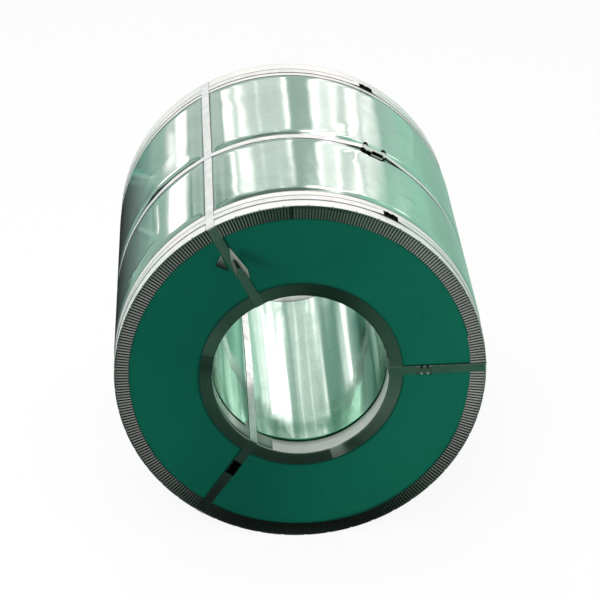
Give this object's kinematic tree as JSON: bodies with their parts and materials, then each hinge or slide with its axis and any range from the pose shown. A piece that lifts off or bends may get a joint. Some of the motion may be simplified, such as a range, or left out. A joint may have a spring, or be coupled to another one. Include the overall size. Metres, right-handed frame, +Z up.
{
  "type": "steel coil",
  "caption": "Galvanised steel coil in export packing, bore level, with end discs, fluted edge rings, girth straps and straps through the eye.",
  "frame": {"origin": "centre of the base on the floor, under the middle of the coil that lies on its side", "axes": "+Z up, +Y along the bore from the front face to the back face, +X to the right of the front face"},
  "size_m": [1.0648, 1.1101, 1.0637],
  "materials": {
    "coil_steel": "wound galvanised strip, plain mill finish",
    "galvanised_sheet": "galvanised sheet with a fine spangle, satin",
    "green_board": "dark green board, matte",
    "fluted_ring_steel": "galvanised sheet pleated into flutes, satin",
    "plain_ring_steel": "galvanised sheet, satin",
    "strap_steel": "flat zinc-coated steel strap, satin",
    "seal_steel": "dark crimped steel, dull"
  },
  "bodies": {
    "root": {"steel_coil": "coil_steel", "outer_wrap": "galvanised_sheet", "bore_liner": "galvanised_sheet", "front_end_disc": "green_board", "back_end_disc": "green_board", "front_outer_edge_ring": "fluted_ring_steel", "back_outer_edge_ring": "fluted_ring_steel", "front_inner_edge_ring": "plain_ring_steel", "back_inner_edge_ring": "plain_ring_steel", "front_girth_strap": "strap_steel", "front_girth_seal": "seal_steel", "middle_girth_strap": "strap_steel", "middle_girth_seal": "seal_steel", "back_girth_strap": "strap_steel", "back_girth_seal": "seal_steel", "right_eye_strap": "strap_steel", "right_eye_seal": "seal_steel", "upper_eye_strap": "strap_steel", "upper_eye_seal": "seal_steel", "lower_eye_strap": "strap_steel", "lower_eye_seal": "seal_steel"}
  },
  "joints": []
}
